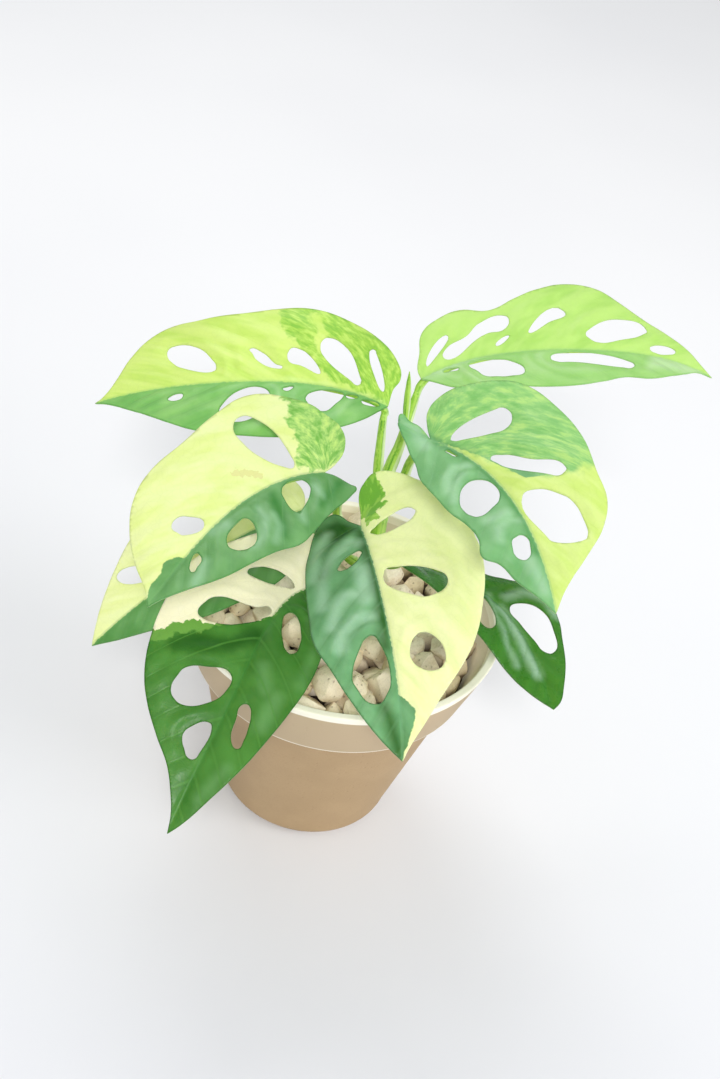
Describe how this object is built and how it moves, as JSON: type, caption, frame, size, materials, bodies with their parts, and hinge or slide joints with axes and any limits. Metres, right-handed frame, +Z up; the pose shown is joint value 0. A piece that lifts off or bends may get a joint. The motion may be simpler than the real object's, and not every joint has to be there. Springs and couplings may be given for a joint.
{
  "type": "potted monstera adansonii",
  "caption": "Small potted climbing aroid with cream, lime and green perforated leaves on long stalks, standing in a beige tapered pot topped with pumice.",
  "frame": {"origin": "centre of the pot's flat underside", "axes": "+Z up along the pot's axis; -Y towards the side that the picture shows; +X to the right of that side"},
  "size_m": [0.2144, 0.188, 0.2064],
  "materials": {
    "pot": "matte, finely speckled, with a paler rim",
    "potting_mix": "dark, crumbly, matte",
    "pumice": "dry, matte, finely pitted",
    "stem": "smooth, satin, fresh green",
    "lime_leaf": "smooth, satin, lime with green marbling",
    "half_lime_leaf": "smooth, satin, one half lime or cream and one half green",
    "green_leaf": "smooth, satin, deep green"
  },
  "bodies": {
    "root": {"pot": "pot", "potting_mix": "potting_mix", "pumice_stones": "pumice", "main_stem": "stem", "new_leaf_spear": "stem", "petiole_upper_left": "stem", "petiole_upper_right": "stem", "petiole_middle_left": "stem", "petiole_front": "stem", "petiole_middle_right": "stem", "petiole_front_left": "stem", "petiole_lower_left": "stem", "petiole_lower_right": "stem", "leaf_upper_left": "lime_leaf", "leaf_upper_right": "lime_leaf", "leaf_middle_left": "half_lime_leaf", "leaf_front": "half_lime_leaf", "leaf_middle_right": "half_lime_leaf", "leaf_front_left": "green_leaf", "leaf_lower_left": "half_lime_leaf", "leaf_lower_right": "green_leaf"}
  },
  "joints": []
}
